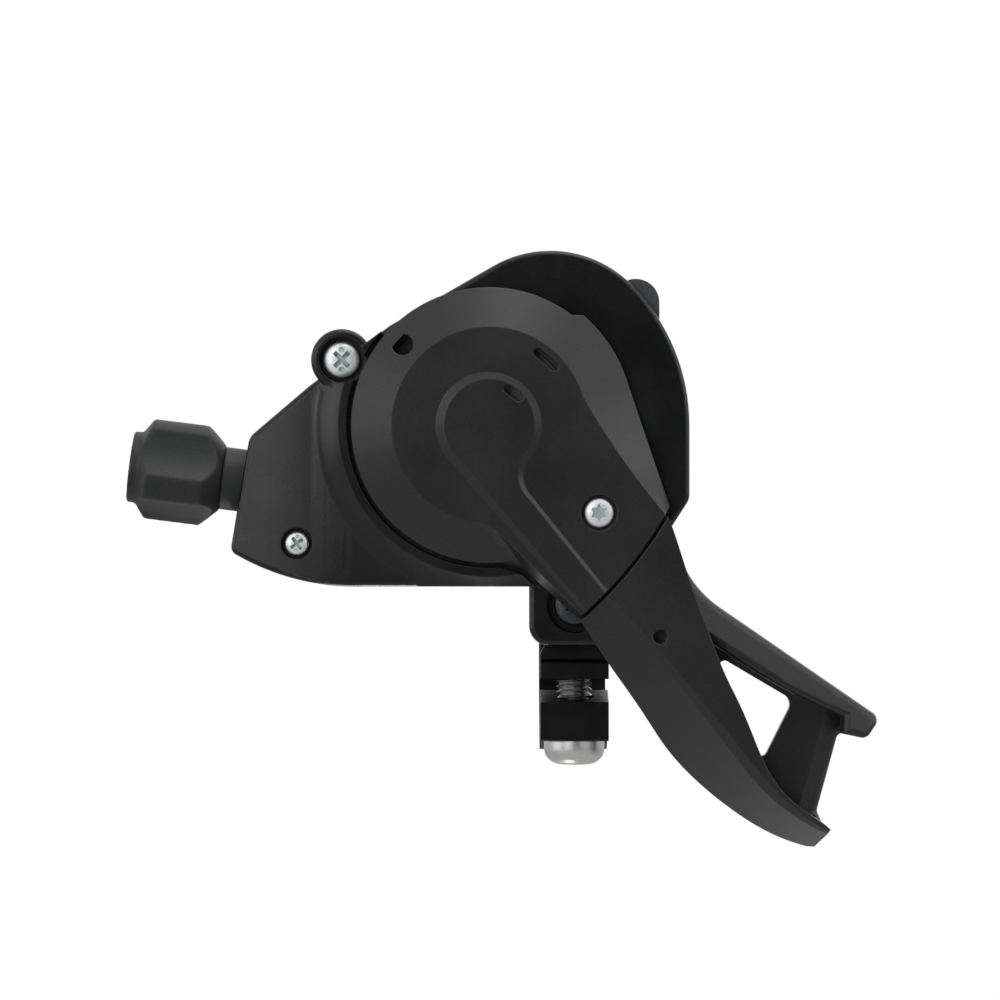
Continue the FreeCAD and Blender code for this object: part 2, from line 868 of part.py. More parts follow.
def spring_window():
    # A small D-shaped window in the skirt, its flat side outwards.
    centre = polar(skirt_radius - spring_window_inset, spring_window_angle)

    def corner(degrees):
        offset = polar(spring_window_size, spring_window_angle + degrees)
        return (centre[0] + offset[0], centre[1] + offset[1])

    return plate(
        plateau,
        skirt_back,
        corner(55),
        (corner(180), corner(-55)),
        (corner(55),),
    )


def lever_plate_plan(front, back, play):
    disc = rod((0, 0), lever_plate_radius + play, front, back)
    tail = link((0, 0), lever_plate_radius * 0.6, lever_screw_place, tongue_width / 2 + play, front, back)
    return disc.fuse(tail).removeSplitter()


def make_lever_plate():
    shape = lever_plate_plan(lever_plate_front, lever_plate_back, 0)
    shape = shape.cut(rod((0, 0), bush_radius, lever_plate_front, lever_plate_back))
    shape = shape.cut(rod(drive_pin_place, pin_radius, lever_plate_front, lever_plate_back))
    return shape.cut(rod(lever_screw_place, lever_shank, lever_plate_front, lever_plate_back))


def tongue_plan(front, back, play):
    half = tongue_width / 2 + play
    return link(lever_screw_place, half, past_split(0.55, split_spare), half, front, back)


def make_lever_screw():
    seat = plateau + lever_seat
    return pan_screw(
        lever_screw_place, lever_head_radius, lever_head_height, lever_shank, seat, lever_plate_back
    )


# Paddle: cross sections from the split to the tip.
# Each gives the blade's edge, the pad's edge, the ridge's share of the way between them,
# the ridge's bevel, and the depths of the blade's front, the pad's edge and the pad's back.
paddle_sections = (
    (past_split(1.0, 0), past_split(0.0, 0), 0.70, 0.3, plateau, plateau + 0.7, skirt_back),
    ((26.3, -16.7), (14.45, -29.85), 0.66, 0.4, plateau, -27.7, skirt_back),
    ((27.6, -20.8), (16.1, -32.4), 0.61, 0.5, plateau, -26.4, -22.8),
    ((30.0, -27.5), (19.9, -37.8), 0.505, 0.8, plateau, -23.4, -19.8),
    ((32.9, -34.9), (24.2, -44.3), 0.375, 1.1, plateau, -20.0, -17.4),
    ((36.4, -42.5), (29.5, -50.2), 0.26, 1.3, plateau, -18.2, paddle_back),
    ((39.8, -49.6), (35.8, -55.1), 0.12, 1.2, plateau + 0.5, -17.8, paddle_back),
    ((44.6, -54.1), (41.5, -58.1), 0.13, 0.7, plateau + 1.4, -17.8, paddle_back),
    ((46.9, -55.7), (44.6, -59.1), 0.13, 0.5, plateau + 1.9, -17.8, paddle_back),
)
paddle_end_round = 0.9


def paddle_section(edge, pad, ridge_share, ridge_bevel, front, pad_depth, back):
    ridge = between(edge, pad, ridge_share)
    inner = between(pad, edge, pad_thickness / math.dist(edge, pad))
    slope = (pad_depth - front) / math.dist(ridge, pad)
    below_ridge = between(ridge, pad, ridge_bevel / math.dist(ridge, pad))
    corners = [
        point(edge, front),
        point(ridge, front),
        point(below_ridge, front + ridge_bevel * slope * 0.55),
        point(pad, pad_depth),
        point(pad, back),
        point(inner, back),
        point(edge, front + blade_thickness),
    ]
    return corners


def paddle_end_cap(corners, previous):
    # The last section, drawn in and moved on by the end radius.
    centre = sum(corners, FreeCAD.Vector()) * (1.0 / len(corners))
    old_centre = sum(previous, FreeCAD.Vector()) * (1.0 / len(previous))
    onward = (centre - old_centre).normalize() * paddle_end_round
    drawn_in = []
    for corner in corners:
        inward = centre - corner
        drawn_in.append(corner + inward.normalize() * paddle_end_round + onward)
    return drawn_in


def make_paddle_leg():
    # The outer leg, narrowing towards its tip, with a small foot on the web's side.
    leg_root = (26.6, -17.9)
    leg_bend = (32.1, -25.3)
    leg_tip = (54.6, -40.8)
    tip_low = (52.6, -43.7)
    foot = (49.1, -42.95)
    foot_top = (49.3, -40.65)
    bend_low = (30.6, -30.1)
    leg = plate(
        leg_front,
        paddle_back,
        leg_root,
        ((28.65, -21.9), leg_bend),
        (leg_tip,),
        (tip_low,),
        (foot,),
        (foot_top,),
        ((41.6, -37.0), bend_low),
        ((26.0, -23.5),),
        (leg_root,),
    )
    leg = leg.makeFillet(leg_corner, upright_edges(leg, leg_tip, tip_low))
    past_root = point(bend_low, leg_front).x + 0.1
    return leg.makeFillet(leg_round, [e for e in edges_at(leg, leg_front) if e.BoundBox.XMax > past_root])


def make_paddle_web():
    web_corner = (48.85, -42.95)
    web_low = (45.85, -53.9)
    web = plate(
        web_front,
        web_front + web_thickness,
        (29.0, -24.5),
        ((50.9, -40.0),),
        ((50.9, -43.15),),
        (web_corner,),
        (web_low,),
        ((46.6, -55.6),),
        ((45.0, -56.0),),
        ((34.0, -43.0),),
        ((29.0, -24.5),),
    )
    web = web.makeFillet(web_round, upright_edges(web, web_corner, web_low))
    low = point(web_low, 0).z
    high = point(web_corner, 0).z
    side_edges = []
    for edge in edges_at(web, web_front):
        middle = edge.CenterOfMass
        if middle.x > point(web_low, 0).x and low < middle.z < high and edge.Length > web_round * 4:
            side_edges.append(edge)
    web = web.makeFillet(leg_round, side_edges)
    window_top = (31.3, -31.8)
    window_right = (42.5, -38.4)
    window_low = (38.1, -47.2)
    window = plate(
        web_front - 1,
        web_front + web_thickness + 1,
        window_top,
        (window_right,),
        (window_low,),
        (window_top,),
    )
    window = window.makeFillet(window_corner, upright_edges(window, window_right))
    window = window.makeFillet(window_tight_corner, upright_edges(window, window_top, window_low))
    return web.cut(window)


def make_lever_paddle():
    sections = [paddle_section(*section) for section in paddle_sections]
    blade = Part.makeLoft([closed(corners) for corners in sections], True, False)
    blade = blade.cut(split_side(split_gap))
    drawn_in = paddle_end_cap(sections[-1], sections[-2])
    end_cap = Part.makeLoft([closed(sections[-1]), closed(drawn_in)], True, True)
    body = blade.fuse([end_cap, make_paddle_leg(), make_paddle_web()])
    body = body.fuse(tongue_plan(tongue_front, tongue_back, 0).cut(blade)).removeSplitter()
    body = body.cut(rod(lever_screw_place, lever_shank + hole_play, tongue_front - 1, tongue_back + 1))
    return body.cut(rod(paddle_hole_place, paddle_hole_radius, plateau - 1, plateau + 2.5))


# Axle, bushes and drum
def make_main_axle():
    shaft = rod((0, 0), axle_radius, ceiling + axle_end_gap, parting)
    groove = tube((0, 0), axle_radius + 1, clip_groove_radius, clip_front, clip_front + clip_thickness)
    return shaft.cut(groove)


def make_axle_clip():
    clip_back = clip_front + clip_thickness
    ring = tube((0, 0), clip_radius, clip_groove_radius + bearing_play, clip_front, clip_back)
    corner = point((0, -clip_mouth / 2), clip_front)
    return ring.cut(Part.makeBox(clip_radius + 1, clip_thickness, clip_mouth, corner))


def make_lever_bushing():
    return tube((0, 0), bush_radius, axle_radius + bearing_play, bush_front, lever_plate_back)


def make_drum_bushing():
    return tube((0, 0), bush_radius, axle_radius + bearing_play, drive_front, plate_front - bearing_play)


def make_cable_drum():
    drive = toothed(drive_ratchet_radius, drive_tooth, drive_front, hold_front + 0.2)
    hold = toothed(hold_ratchet_radius, hold_tooth, hold_front, spool_front)
    half = groove_width / 2
    spool = turned(
        [
            (bush_radius, spool_front),
            (flange_radius, spool_front),
            (flange_radius, barrel_depth - half - groove_flank),
            (groove_radius, barrel_depth - half),
            (groove_radius, barrel_depth + half),
            (flange_radius, barrel_depth + half + groove_flank),
            (flange_radius, spool_back),
            (bush_radius, spool_back),
        ]
    )
    hub = tube((0, 0), hub_radius, bush_radius, spool_back - spring_well_depth, plate_front - running_gap)
    drum = drive.fuse([hold, spool, hub]).removeSplitter()
    drum = drum.cut(rod((0, 0), bush_radius, drive_front - 1, parting))
    drum = drum.cut(tube((0, 0), spring_well_radius, hub_radius, spool_back - spring_well_depth, parting))
    nipple = polar(groove_radius - nipple_inset, nipple_angle)
    return drum.cut(rod(nipple, nipple_radius, barrel_depth - nipple_radius, parting))


def make_drum_spring():
    mean = (hub_radius + spring_well_radius) / 2
    front = spool_back - spring_well_depth + running_gap
    return coil((0, 0), mean, drum_wire, drum_coil_turns, front, drum_wire)


# Pawls and release trigger
drive_pin_place = polar(drive_pin_distance, 180)
drive_tip_place = polar(drive_ratchet_radius + pawl_gap + drive_tip_radius, drive_tip_angle)
hold_tip_place = polar(hold_ratchet_radius + pawl_gap + hold_tip_radius, hold_tip_angle)
hold_tail_place = (hold_pin_place[0] + 3.7, 0.2)
trigger_finger_place = (trigger_pin_place[0] - 0.7, 0.6)


def make_drive_pawl():
    back = hold_front - bearing_play
    eye = pin_radius * drive_eye_share
    arm = link(drive_pin_place, eye, drive_tip_place, drive_tip_radius, face + bearing_play, back - seam)
    return arm.cut(rod(drive_pin_place, pin_radius + bearing_play, face - 1, back))


def make_drive_pawl_pin():
    return rod(drive_pin_place, pin_radius, ceiling + axle_end_gap, hold_front - 0.6)


def make_hold_pawl():
    front = hold_front + bearing_play
    back = front + pawl_thickness
    arm = link(hold_pin_place, pin_land_radius, hold_tip_place, hold_tip_radius, front, back)
    tail = link(hold_pin_place, pin_land_radius, hold_tail_place, hold_tail_radius, front, back)
    return arm.fuse(tail).removeSplitter().cut(rod(hold_pin_place, pin_radius + bearing_play, front, back))


def make_release_trigger():
    front = hold_front + bearing_play
    back = front + pawl_thickness
    arm = link(trigger_pin_place, pin_land_radius, trigger_tip_place, trigger_tip_radius, front, back)
    finger = link(trigger_pin_place, pin_land_radius, trigger_finger_place, finger_radius, front, back)
    pad = rod(trigger_tip_place, trigger_tip_radius, front, trigger_back)
    pad = pad.makeFillet(trigger_tip_radius * 0.4, edges_at(pad, trigger_back))
    body = arm.fuse([finger, pad]).removeSplitter()
    return body.cut(rod(trigger_pin_place, pin_radius + bearing_play, front, back))


def make_pin(place):
    return rod(place, pin_radius, pin_front, parting)


# Barrel adjuster
def make_barrel_adjuster():
    body = barrel_cone(neck_radius + slide_play, knob_radius, cone_start, knob_start)
    body = body.fuse(barrel_rod(knob_radius, knob_start, knob_end))
    body = body.fuse(barrel_cone(knob_radius, end_collar_radius, knob_end, knob_end + end_cone))
    flute_distance = knob_radius + flute_radius - flute_depth
    for flute in range(flutes):
        cutter = barrel_rod(flute_radius, cone_start - 1, mouth)
        cutter.translate(FreeCAD.Vector(0, -flute_distance, 0))
        cutter.rotate(barrel_point(0), barrel_heading, flute_turn + 360.0 / flutes * flute)
        body = body.cut(cutter)
    body = body.fuse(barrel_rod(end_collar_radius, knob_end + end_cone, mouth))
    body = body.fuse(barrel_rod(stem_radius, stem_end, knob_start)).removeSplitter()
    body = body.cut(barrel_rod(housing_bore, mouth - housing_bore_depth, mouth))
    return body.cut(barrel_rod(cable_bore, 0, mouth))


def make_detent_collar():
    far = cone_start - bearing_play
    near = far - neck_reach
    return barrel_rod(neck_radius, near, far).cut(barrel_rod(stem_radius + slide_play, near, far))


def make_adjuster_spring():
    spring = coil((0, 0), (neck_radius + stem_radius) / 2, adjuster_wire, adjuster_turns, 0, 0)
    spring.translate(point((0, 0), 0) * -1)
    spring.rotate(FreeCAD.Vector(), FreeCAD.Vector(0, 0, 1), 90)
    spring.rotate(FreeCAD.Vector(), FreeCAD.Vector(0, 1, 0), barrel_tilt)
    spring.translate(barrel_point(neck_floor + 0.2))
    return spring


def make_lever_return_spring():
    return coil((0, 0), return_coil_radius, return_wire, 1.0, ceiling + slide_play, return_leg)


def make_drive_pawl_spring():
    front = lever_plate_front - drive_coil_stand
    return coil(drive_pin_place, pin_radius + drive_coil_gap, drive_wire, drive_coil_turns, front, 0)


def pawl_coil(place):
    front = hold_front + pawl_thickness + pawl_coil_stand
    return coil(place, pin_radius + pawl_wire, pawl_wire, pawl_coil_turns, front, pawl_coil_leg)


def make_hold_pawl_spring():
    return pawl_coil(hold_pin_place)


def make_trigger_spring():
    return pawl_coil(trigger_pin_place)


pieces = {
    "base_housing": make_base_housing(),
    "top_cover": make_top_cover(),
    "housing_screw_large": make_large_screw(),
    "housing_screw_small": make_small_screw(),
    "mechanism_plate": make_mechanism_plate(),
    "main_axle": make_main_axle(),
    "axle_clip": make_axle_clip(),
    "hold_pawl_pin": make_pin(hold_pin_place),
    "trigger_pin": make_pin(trigger_pin_place),
    "drum_spring": make_drum_spring(),
    "hold_pawl_spring": make_hold_pawl_spring(),
    "trigger_spring": make_trigger_spring(),
    "adjuster_spring": make_adjuster_spring(),
    "clamp_band": make_clamp_band(),
    "clamp_bolt": make_clamp_bolt(),
    "bracket_screw": make_bracket_screw(),
    "lever_cap": make_lever_cap(),
    "lever_paddle": make_lever_paddle(),
    "lever_screw": make_lever_screw(),
    "lever_plate": make_lever_plate(),
    "lever_bushing": make_lever_bushing(),
    "lever_return_spring": make_lever_return_spring(),
    "drive_pawl_pin": make_drive_pawl_pin(),
    "drive_pawl_spring": make_drive_pawl_spring(),
    "drive_pawl": make_drive_pawl(),
    "cable_drum": make_cable_drum(),
    "drum_bushing": make_drum_bushing(),
    "hold_pawl": make_hold_pawl(),
    "release_trigger": make_release_trigger(),
    "detent_collar": make_detent_collar(),
    "barrel_adjuster": make_barrel_adjuster(),
}

os.makedirs("parts", exist_ok=True)
for name, shape in pieces.items():
    solids = shape.Solids
    print(name, len(solids), shape.isValid(), round(shape.Volume, 1))
    shape.exportStep("parts/" + name + ".step")
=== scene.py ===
import bpy
import json
import math
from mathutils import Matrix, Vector


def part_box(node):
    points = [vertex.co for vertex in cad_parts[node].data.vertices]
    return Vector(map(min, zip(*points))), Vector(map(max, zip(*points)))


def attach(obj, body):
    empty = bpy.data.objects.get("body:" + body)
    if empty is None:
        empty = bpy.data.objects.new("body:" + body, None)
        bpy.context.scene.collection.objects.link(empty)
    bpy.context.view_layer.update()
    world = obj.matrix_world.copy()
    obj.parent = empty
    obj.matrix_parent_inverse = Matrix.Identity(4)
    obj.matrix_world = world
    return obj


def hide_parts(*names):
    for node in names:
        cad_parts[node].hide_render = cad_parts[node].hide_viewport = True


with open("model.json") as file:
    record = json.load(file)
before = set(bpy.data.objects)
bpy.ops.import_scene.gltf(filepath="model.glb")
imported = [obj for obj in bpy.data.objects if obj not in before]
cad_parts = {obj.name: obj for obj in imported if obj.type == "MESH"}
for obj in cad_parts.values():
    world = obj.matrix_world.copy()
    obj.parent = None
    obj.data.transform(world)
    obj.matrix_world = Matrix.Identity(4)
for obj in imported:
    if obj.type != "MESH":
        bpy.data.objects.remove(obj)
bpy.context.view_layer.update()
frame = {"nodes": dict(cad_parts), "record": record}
nodes = frame["nodes"]
bodyOf = {}
for bodyName, members in frame["record"]["behaviour"]["bodies"].items():
    for member in members:
        bodyOf[member] = bodyName
bpy.context.scene.view_settings.view_transform = "Standard"
mm = 0.001
print("frame loaded with", len(nodes), "nodes")

# camera square on to the thumb side, as the photograph has it
cameraSetup = {
    "place": (-0.01047, -0.878, 0.02138), "lens": 220.3, "sensor": 36, "near": 0.01, "far": 50,
}
bpy.ops.object.camera_add(location=cameraSetup["place"], rotation=(math.radians(90), 0, 0))
camera = bpy.context.object
camera.data.lens = cameraSetup["lens"]
camera.data.sensor_width = cameraSetup["sensor"]
camera.data.clip_start = cameraSetup["near"]
camera.data.clip_end = cameraSetup["far"]
bpy.context.scene.camera = camera
print("camera set")


# finishes
def hexColour(code):
    parts = [int(code[i:i + 2], 16) / 255 for i in (1, 3, 5)]
    linear = [c / 12.92 if c <= 0.04045 else ((c + 0.055) / 1.055) ** 2.4 for c in parts]
    return (*linear, 1.0)


def grey(level):
    return (level, level, level, 1.0)


def addNode(tree, kind, settings, links):
    node = tree.nodes.new("ShaderNode" + kind)
    for name, value in settings.items():
        if name == "ramp":
            for stop, (place, colour) in zip(node.color_ramp.elements, value):
                stop.position = place
                stop.color = colour
        elif isinstance(name, int) or name in node.inputs:
            node.inputs[name].default_value = value
        else:
            setattr(node, name, value)
    for name, source in links.items():
        tree.links.new(source, node.inputs[name])
    return node


def startFinish(name):
    material = bpy.data.materials.new(name)
    material.use_nodes = True
    tree = material.node_tree
    return material, tree, tree.nodes["Principled BSDF"]


plasticSetup = {
    "speckle": (0.42, 0.74), "edge": (0.80, 0.985), "gloss": (0.3, 0.7), "glossChange": 0.05,
    "grainDeep": 0.12, "grainDetail": 2.0, "flowDetail": 3.0, "edgeSamples": 6,
}


# Injection moulded plastic: spark-eroded mould grain breaks the gloss into a fine light speckle,
# slow flow marks shift the gloss a little, and edges carry a painted highlight, a paler line.
def mouldedPlastic(look):
    material, tree, shader = startFinish(look["name"])
    where = addNode(tree, "TexCoord", {}, {}).outputs["Object"]
    grain = addNode(
        tree, "TexNoise",
        {"Scale": 1000 / look["grainMm"], "Detail": plasticSetup["grainDetail"]}, {"Vector": where},
    )
    flow = addNode(
        tree, "TexNoise",
        {"Scale": 1000 / look["flowMm"], "Detail": plasticSetup["flowDetail"]}, {"Vector": where},
    )
    tones = (hexColour(look["colour"]), hexColour(look["speck"]))
    speckle = addNode(
        tree, "ValToRGB", {"ramp": zip(plasticSetup["speckle"], tones)},
        {"Fac": grain.outputs["Fac"]},
    )
    rounded = addNode(
        tree, "Bevel", {"samples": plasticSetup["edgeSamples"], "Radius": look["edgeMm"] * mm}, {},
    )
    flat = addNode(tree, "NewGeometry", {}, {})
    turn = addNode(
        tree, "VectorMath", {"operation": "DOT_PRODUCT"},
        {0: rounded.outputs["Normal"], 1: flat.outputs["Normal"]},
    )
    # a paler colour along the rounded edges: painted highlight
    edge = addNode(
        tree, "ValToRGB", {"ramp": zip(plasticSetup["edge"], (grey(look["rimPaintShare"]), grey(0)))},
        {"Fac": turn.outputs["Value"]},
    )
    paintedRim = addNode(
        tree, "Mix", {"data_type": "RGBA", 7: hexColour(look["rimPaintColour"])},
        {0: edge.outputs["Color"], 6: speckle.outputs["Color"]},
    )
    change = plasticSetup["glossChange"]
    glossy = (grey(look["rough"] - change), grey(look["rough"] + change))
    gloss = addNode(
        tree, "ValToRGB", {"ramp": zip(plasticSetup["gloss"], glossy)},
        {"Fac": flow.outputs["Fac"]},
    )
    deep = look["grainMm"] * plasticSetup["grainDeep"] * mm
    bump = addNode(
        tree, "Bump", {"Strength": look["grainStrength"], "Distance": deep},
        {"Height": grain.outputs["Fac"], "Normal": rounded.outputs["Normal"]},
    )
    tree.links.new(paintedRim.outputs[2], shader.inputs["Base Color"])
    tree.links.new(gloss.outputs["Color"], shader.inputs["Roughness"])
    tree.links.new(bump.outputs["Normal"], shader.inputs["Normal"])
    shader.inputs["IOR"].default_value = look["ior"]
    return material


metalSetup = {
    "tone": (0.3, 0.7), "gloss": (0.3, 0.7), "glossDown": 0.06, "glossUp": 0.08,
    "scratchDeep": 0.1, "scratchDetail": 3.0, "cloudDetail": 2.0, "edgeSamples": 6,
}


# Plated, anodised or bare metal: a satin sheen with fine scratches along one way,
# and small cloudy changes of tone from the bath.
def finishedMetal(look):
    material, tree, shader = startFinish(look["name"])
    where = addNode(tree, "TexCoord", {}, {}).outputs["Object"]
    stretch = addNode(tree, "Mapping", {"Scale": look["stretch"]}, {"Vector": where})
    scratch = addNode(
        tree, "TexNoise",
        {"Scale": 1000 / look["scratchMm"], "Detail": metalSetup["scratchDetail"]},
        {"Vector": stretch.outputs["Vector"]},
    )
    cloud = addNode(
        tree, "TexNoise",
        {"Scale": 1000 / look["cloudMm"], "Detail": metalSetup["cloudDetail"]}, {"Vector": where},
    )
    tones = (hexColour(look["colour"]), hexColour(look["pale"]))
    tone = addNode(
        tree, "ValToRGB", {"ramp": zip(metalSetup["tone"], tones)}, {"Fac": cloud.outputs["Fac"]},
    )
    glossy = (
        grey(look["rough"] - metalSetup["glossDown"]), grey(look["rough"] + metalSetup["glossUp"]),
    )
    gloss = addNode(
        tree, "ValToRGB", {"ramp": zip(metalSetup["gloss"], glossy)},
        {"Fac": scratch.outputs["Fac"]},
    )
    rounded = addNode(
        tree, "Bevel", {"samples": metalSetup["edgeSamples"], "Radius": look["edgeMm"] * mm}, {},
    )
    deep = look["scratchMm"] * metalSetup["scratchDeep"] * mm
    bump = addNode(
        tree, "Bump", {"Strength": look["scratchStrength"], "Distance": deep},
        {"Height": scratch.outputs["Fac"], "Normal": rounded.outputs["Normal"]},
    )
    tree.links.new(tone.outputs["Color"], shader.inputs["Base Color"])
    tree.links.new(gloss.outputs["Color"], shader.inputs["Roughness"])
    tree.links.new(bump.outputs["Normal"], shader.inputs["Normal"])
    shader.inputs["Metallic"].default_value = look["metal"]
    return material


# The mould grain is really about 0.1 mm; it is drawn at 0.3 mm so that the render can show it.
# the paler edge colour of each look is a painted highlight along its edges
plasticLooks = {
    # deep black with a soft sheen that lifts wherever a face slopes
    "housing_plastic": {
        "name": "glassFilledNylonMoulded", "colour": "#0f1011", "speck": "#191a1b",
        "rimPaintColour": "#2c2d2e", "rimPaintShare": 0.5, "edgeMm": 0.28, "grainMm": 0.3, "flowMm": 9.0,
        "grainStrength": 0.2, "rough": 0.28, "ior": 1.42,
    },
    # a shade greyer and duller, so the lever stands off the housing
    "lever_plastic": {
        "name": "acetalLeverMoulded", "colour": "#1f1f21", "speck": "#28282a",
        "rimPaintColour": "#454547", "rimPaintShare": 0.5, "edgeMm": 0.25, "grainMm": 0.28, "flowMm": 11.0,
        "grainStrength": 0.2, "rough": 0.33, "ior": 1.48,
    },
    # mid grey and dull, seen only at the trigger's tip
    "trigger_plastic": {
        "name": "acetalTriggerMoulded", "colour": "#444547", "speck": "#505153",
        "rimPaintColour": "#6a6a6c", "rimPaintShare": 0.5, "edgeMm": 0.25, "grainMm": 0.28, "flowMm": 8.0,
        "grainStrength": 0.4, "rough": 0.5, "ior": 1.48,
    },
    # dull black that spreads the light softly round the flutes
    "knob_plastic": {
        "name": "nylonKnobMoulded", "colour": "#1a1b1c", "speck": "#252627",
        "rimPaintColour": "#414243", "rimPaintShare": 0.5, "edgeMm": 0.3, "grainMm": 0.3, "flowMm": 7.0,
        "grainStrength": 0.5, "rough": 0.54, "ior": 1.47,
    },
    # plain grey bearing plastic, out of sight
    "drum_plastic": {
        "name": "acetalDrumMoulded", "colour": "#3a3a3a", "speck": "#464646",
        "rimPaintColour": "#5c5c5c", "rimPaintShare": 0.4, "edgeMm": 0.15, "grainMm": 0.3, "flowMm": 6.0,
        "grainStrength": 0.3, "rough": 0.45, "ior": 1.48,
    },
}
# Scratches are really a few hundredths of a millimetre wide, and are drawn coarser to show too.
metalLooks = {
    # almost black with a faint sheen along the band
    "clamp_alloy": {
        "name": "blackAnodisedAluminium", "colour": "#1c1c1d", "pale": "#262627", "metal": 1.0,
        "rough": 0.44, "edgeMm": 0.2, "stretch": (0.25, 1.0, 1.0), "scratchMm": 0.3,
        "cloudMm": 5.0, "scratchStrength": 0.25,
    },
    # pale satin that gathers the light round the crown
    "bolt_steel": {
        "name": "satinPlatedSteel", "colour": "#c2c2c0", "pale": "#d0d0cf", "metal": 1.0,
        "rough": 0.32, "edgeMm": 0.15, "stretch": (1.0, 1.0, 0.2), "scratchMm": 0.35,
        "cloudMm": 3.0, "scratchStrength": 0.2,
    },
    # bright and slightly blue white
    "zinc_steel": {
        "name": "brightZincPlatedSteel", "colour": "#e6f0ef", "pale": "#f4fbfa", "metal": 0.7,
        "rough": 0.42, "edgeMm": 0.1, "stretch": (1.0, 1.0, 1.0), "scratchMm": 0.3,
        "cloudMm": 1.6, "scratchStrength": 0.15,
    },
    # greyer than the crown: painted shade, so that the driver's recess shows
    "zinc_recess": {
        "name": "zincRecessPaintedShade", "colour": "#bac6c6", "pale": "#ccd7d7", "metal": 0.7,
        "rough": 0.45, "edgeMm": 0.08, "stretch": (1.0, 1.0, 1.0), "scratchMm": 0.3,
        "cloudMm": 1.6, "scratchStrength": 0.1,
    },
    # darker than the head: painted shade for the thread down in the clamp's slot
    "bolt_thread": {
        "name": "threadPaintedShadeSteel", "colour": "#8e8e8d", "pale": "#9b9b9a", "metal": 1.0,
        "rough": 0.32, "edgeMm": 0.05, "stretch": (1.0, 1.0, 1.0), "scratchMm": 0.3,
        "cloudMm": 3.0, "scratchStrength": 0.15,
    },
    # blue black: painted shade for the bracket screw, deep under the lever
    "dark_steel": {
        "name": "bracketScrewPaintedShade", "colour": "#3b4244", "pale": "#474f51", "metal": 1.0,
        "rough": 0.4, "edgeMm": 0.1, "stretch": (1.0, 1.0, 1.0), "scratchMm": 0.3,
        "cloudMm": 2.0, "scratchStrength": 0.15,
    },
    # grey, streaked along the way it was rolled
    "plate_steel": {
        "name": "stampedSteelPlate", "colour": "#5c5d5e", "pale": "#6c6d6d", "metal": 1.0,
        "rough": 0.42, "edgeMm": 0.1, "stretch": (0.15, 1.0, 1.0), "scratchMm": 0.3,
        "cloudMm": 5.0, "scratchStrength": 0.3,
    },
    # smooth and a little bright
    "spring_steel": {
        "name": "drawnSpringWire", "colour": "#86878a", "pale": "#9b9c9e", "metal": 1.0,
        "rough": 0.3, "edgeMm": 0.05, "stretch": (1.0, 1.0, 1.0), "scratchMm": 0.25,
        "cloudMm": 2.0, "scratchStrength": 0.15,
    },
    # warm yellow with faint turning lines
    "bush_brass": {
        "name": "turnedBrass", "colour": "#b08d4a", "pale": "#bd9c5a", "metal": 1.0,
        "rough": 0.3, "edgeMm": 0.08, "stretch": (1.0, 0.1, 1.0), "scratchMm": 0.25,
        "cloudMm": 3.0, "scratchStrength": 0.2,
    },
}
finishes = {}
for slotName, look in plasticLooks.items():
    finishes[slotName] = mouldedPlastic(look)
for slotName, look in metalLooks.items():
    finishes[slotName] = finishedMetal(look)
print("finishes made:", len(finishes))


# modelling helpers; a face looks a way when its normal has this much of it
facing = 0.9


def selectOnly(piece):
    bpy.ops.object.select_all(action="DESELECT")
    piece.select_set(True)
    bpy.context.view_layer.objects.active = piece


def pick(piece, kind, test):
    # chooses the faces, edges or points that the next edit-mode step works on
    bpy.ops.object.mode_set(mode="EDIT")
    bpy.ops.mesh.select_mode(type=kind)
    bpy.ops.mesh.select_all(action="DESELECT")
    bpy.ops.object.mode_set(mode="OBJECT")
    mesh = piece.data
    if kind == "FACE":
        for face in mesh.polygons:
            face.select = test(face.center, face.normal)
    elif kind == "EDGE":
        for edge in mesh.edges:
            first, last = (mesh.vertices[i].co for i in edge.vertices)
            edge.select = test(first, last)
    else:
        for vertex in mesh.vertices:
            vertex.select = test(vertex.co)
    bpy.ops.object.mode_set(mode="EDIT")


def drawOut(move):
    bpy.ops.mesh.extrude_region_move(TRANSFORM_OT_translate={"value": move})


def applyTransforms():
    bpy.ops.object.transform_apply(location=True, rotation=True, scale=True)
    return bpy.context.object


def applyLast(piece):
    bpy.ops.object.modifier_apply(modifier=piece.modifiers[-1].name)


def cutAway(piece, cutter):
    selectOnly(piece)
    cut = piece.modifiers.new("cut", "BOOLEAN")
    cut.operation = "DIFFERENCE"
    cut.object = cutter
    applyLast(piece)
    bpy.data.objects.remove(cutter)


def settle(piece, name, node, slotName, smoothAngle):
    if bpy.context.object and bpy.context.object.mode != "OBJECT":
        bpy.ops.object.mode_set(mode="OBJECT")
    selectOnly(piece)
    applyTransforms()
    bpy.ops.object.shade_smooth_by_angle(angle=math.radians(smoothAngle))
    piece.name = name
    piece.data.name = name
    piece.data.materials.clear()
    piece.data.materials.append(finishes[slotName])
    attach(piece, bodyOf[node])
    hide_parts(node)


# moulded and cast pieces: the solid's own mesh, welded and shaded smooth across its small facets
dressed = {
    "base_housing": ("housing_plastic", 30), "top_cover": ("housing_plastic", 30),
    "lever_cap": ("lever_plastic", 9), "lever_paddle": ("lever_plastic", 14),
    "release_trigger": ("trigger_plastic", 30), "detent_collar": ("knob_plastic", 30),
    "barrel_adjuster": ("knob_plastic", 30), "clamp_band": ("clamp_alloy", 30),
}
weldSetup = {"closeMm": 0.002, "flatAngle": 0.3}
creaseSetup = {
    "xMm": -37.0, "faceMm": -24.0, "fall": 0.118, "steps": 7, "stepMm": 1.0, "closeMm": 0.03,
    "square": 0.99,
}


